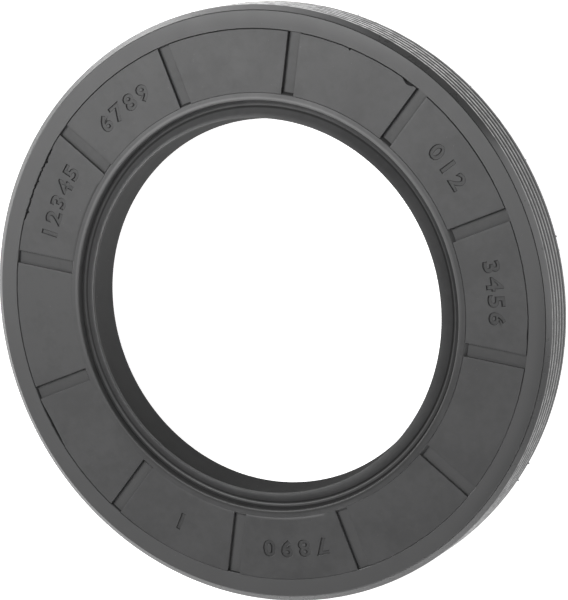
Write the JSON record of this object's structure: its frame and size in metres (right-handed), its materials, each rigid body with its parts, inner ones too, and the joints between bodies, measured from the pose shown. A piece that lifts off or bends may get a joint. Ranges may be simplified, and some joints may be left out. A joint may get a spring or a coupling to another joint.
{
  "type": "radial shaft seal",
  "caption": "Rubber-covered rotary shaft seal with a ribbed outside, a spring-loaded sealing lip and a dust lip, on a pressed steel ring.",
  "frame": {"origin": "on the shaft axis, in the plane of the oil side's end face, on which the seal lies", "axes": "+Z along the shaft axis, from the open oil side up to the marked air side; +X through the middle of a slot in the face"},
  "size_m": [0.095, 0.095, 0.008],
  "materials": {
    "rubber": "moulded, matt dark grey",
    "ring_steel": "pressed sheet, dull phosphated",
    "spring_steel": "drawn wire, bright with a dark film"
  },
  "bodies": {
    "root": {"rubber_body": "rubber", "stiffening_ring": "ring_steel", "garter_spring": "spring_steel"}
  },
  "joints": []
}
